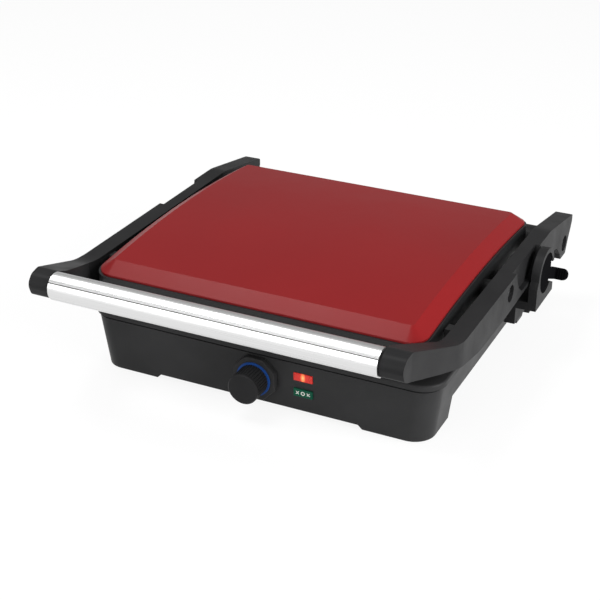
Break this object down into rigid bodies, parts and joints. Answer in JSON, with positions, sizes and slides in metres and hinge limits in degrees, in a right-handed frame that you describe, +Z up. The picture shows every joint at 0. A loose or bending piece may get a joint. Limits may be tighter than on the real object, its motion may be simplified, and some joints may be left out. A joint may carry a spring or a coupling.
{
  "type": "contact grill",
  "caption": "Countertop contact grill with two ribbed hot plates, a floating lid hung between two arms, a bar handle, a temperature dial, indicator lamps and a side release lever.",
  "frame": {"origin": "centre of the underside of the whole part, on the surface it stands on", "axes": "+X to the right seen from the front, +Y from the handle to the rear, +Z up"},
  "size_m": [0.401, 0.4223, 0.1306],
  "materials": {
    "black_plastic": "fine moulded grain, satin black",
    "lid_shell_plastic": "fine moulded grain, satin black",
    "knob_plastic": "satin black",
    "ring_blue": "gloss blue",
    "red_enamel": "satin red enamel on sheet steel",
    "handle_aluminium": "satin anodised",
    "nonstick_coating": "dark non-stick coating on cast aluminium",
    "element_sheath": "heat-tinted steel sheath",
    "reflector_steel": "aluminised steel sheet",
    "fastener_steel": "zinc-plated steel",
    "foot_rubber": "matt rubber",
    "lens_red": "clear red plastic",
    "lens_green": "clear green plastic",
    "board": "paper laminate",
    "neon_glass": "clear glass",
    "terminal_plastic": "white moulded plastic",
    "washer_nylon": "black nylon"
  },
  "bodies": {
    "root": {"bottom_housing": "black_plastic", "bottom_cover": "black_plastic", "bottom_cover_screws": "fastener_steel", "rubber_feet": "foot_rubber", "base_top_frame": "black_plastic", "lower_plate": "nonstick_coating", "lower_plate_screws": "fastener_steel", "lower_heating_element": "element_sheath", "lower_heat_reflector": "reflector_steel", "dial_bezel": "black_plastic", "thermostat": "terminal_plastic", "thermostat_bracket": "reflector_steel", "power_lamp_lens": "lens_red", "ready_lamp_lens": "lens_green", "lamp_board": "board", "neon_lamps": "neon_glass", "terminal_block": "terminal_plastic", "cord_gland": "black_plastic", "right_side_bracket": "black_plastic", "left_side_bracket": "black_plastic", "bracket_screws": "fastener_steel", "left_ear_cap": "black_plastic", "cap_retaining_ring": "fastener_steel", "right_hinge_screw": "fastener_steel", "left_hinge_screw": "fastener_steel", "right_hinge_washer": "washer_nylon", "left_hinge_washer": "washer_nylon"},
    "dial": {"dial_shaft": "fastener_steel", "thermostat_knob": "knob_plastic", "knob_ring": "ring_blue"},
    "lever": {"release_lever": "black_plastic", "lever_retaining_ring": "fastener_steel"},
    "handle_frame": {"right_arm": "black_plastic", "left_arm": "black_plastic", "right_arm_liner": "black_plastic", "left_arm_liner": "black_plastic", "handle_bar": "handle_aluminium", "handle_tie_rod": "fastener_steel", "handle_bar_spacers": "washer_nylon", "right_lid_screw": "fastener_steel", "left_lid_screw": "fastener_steel", "right_lid_spacer": "washer_nylon", "left_lid_spacer": "washer_nylon"},
    "lid": {"lid_housing": "lid_shell_plastic", "lid_cover": "red_enamel", "upper_plate": "nonstick_coating", "upper_plate_screws": "fastener_steel", "upper_heating_element": "element_sheath", "upper_heat_reflector": "reflector_steel", "thermal_fuse": "terminal_plastic", "fuse_strap": "reflector_steel"}
  },
  "joints": [
    {"name": "arm_hinge", "type": "hinge", "parent": "root", "child": "handle_frame", "pos_m": [-0.0055, 0.18715, 0.0655], "axis": [-1, 0, 0], "range_deg": [0, 180]},
    {"name": "lid_tilt", "type": "hinge", "parent": "handle_frame", "child": "lid", "pos_m": [-0.0055, 0.01165, 0.089], "axis": [1, 0, 0], "range_deg": [-2, 2]},
    {"name": "dial_turn", "type": "hinge", "parent": "root", "child": "dial", "pos_m": [-0.0035, -0.14835, 0.0305], "axis": [0, 1, 0], "range_deg": [0, 270]},
    {"name": "lever_release", "type": "hinge", "parent": "root", "child": "lever", "pos_m": [0.1855, 0.09065, 0.077], "axis": [1, 0, 0], "range_deg": [0, 14], "stiffness_Nm_per_rad": 0.4, "springref_deg": -17.19}
  ]
}
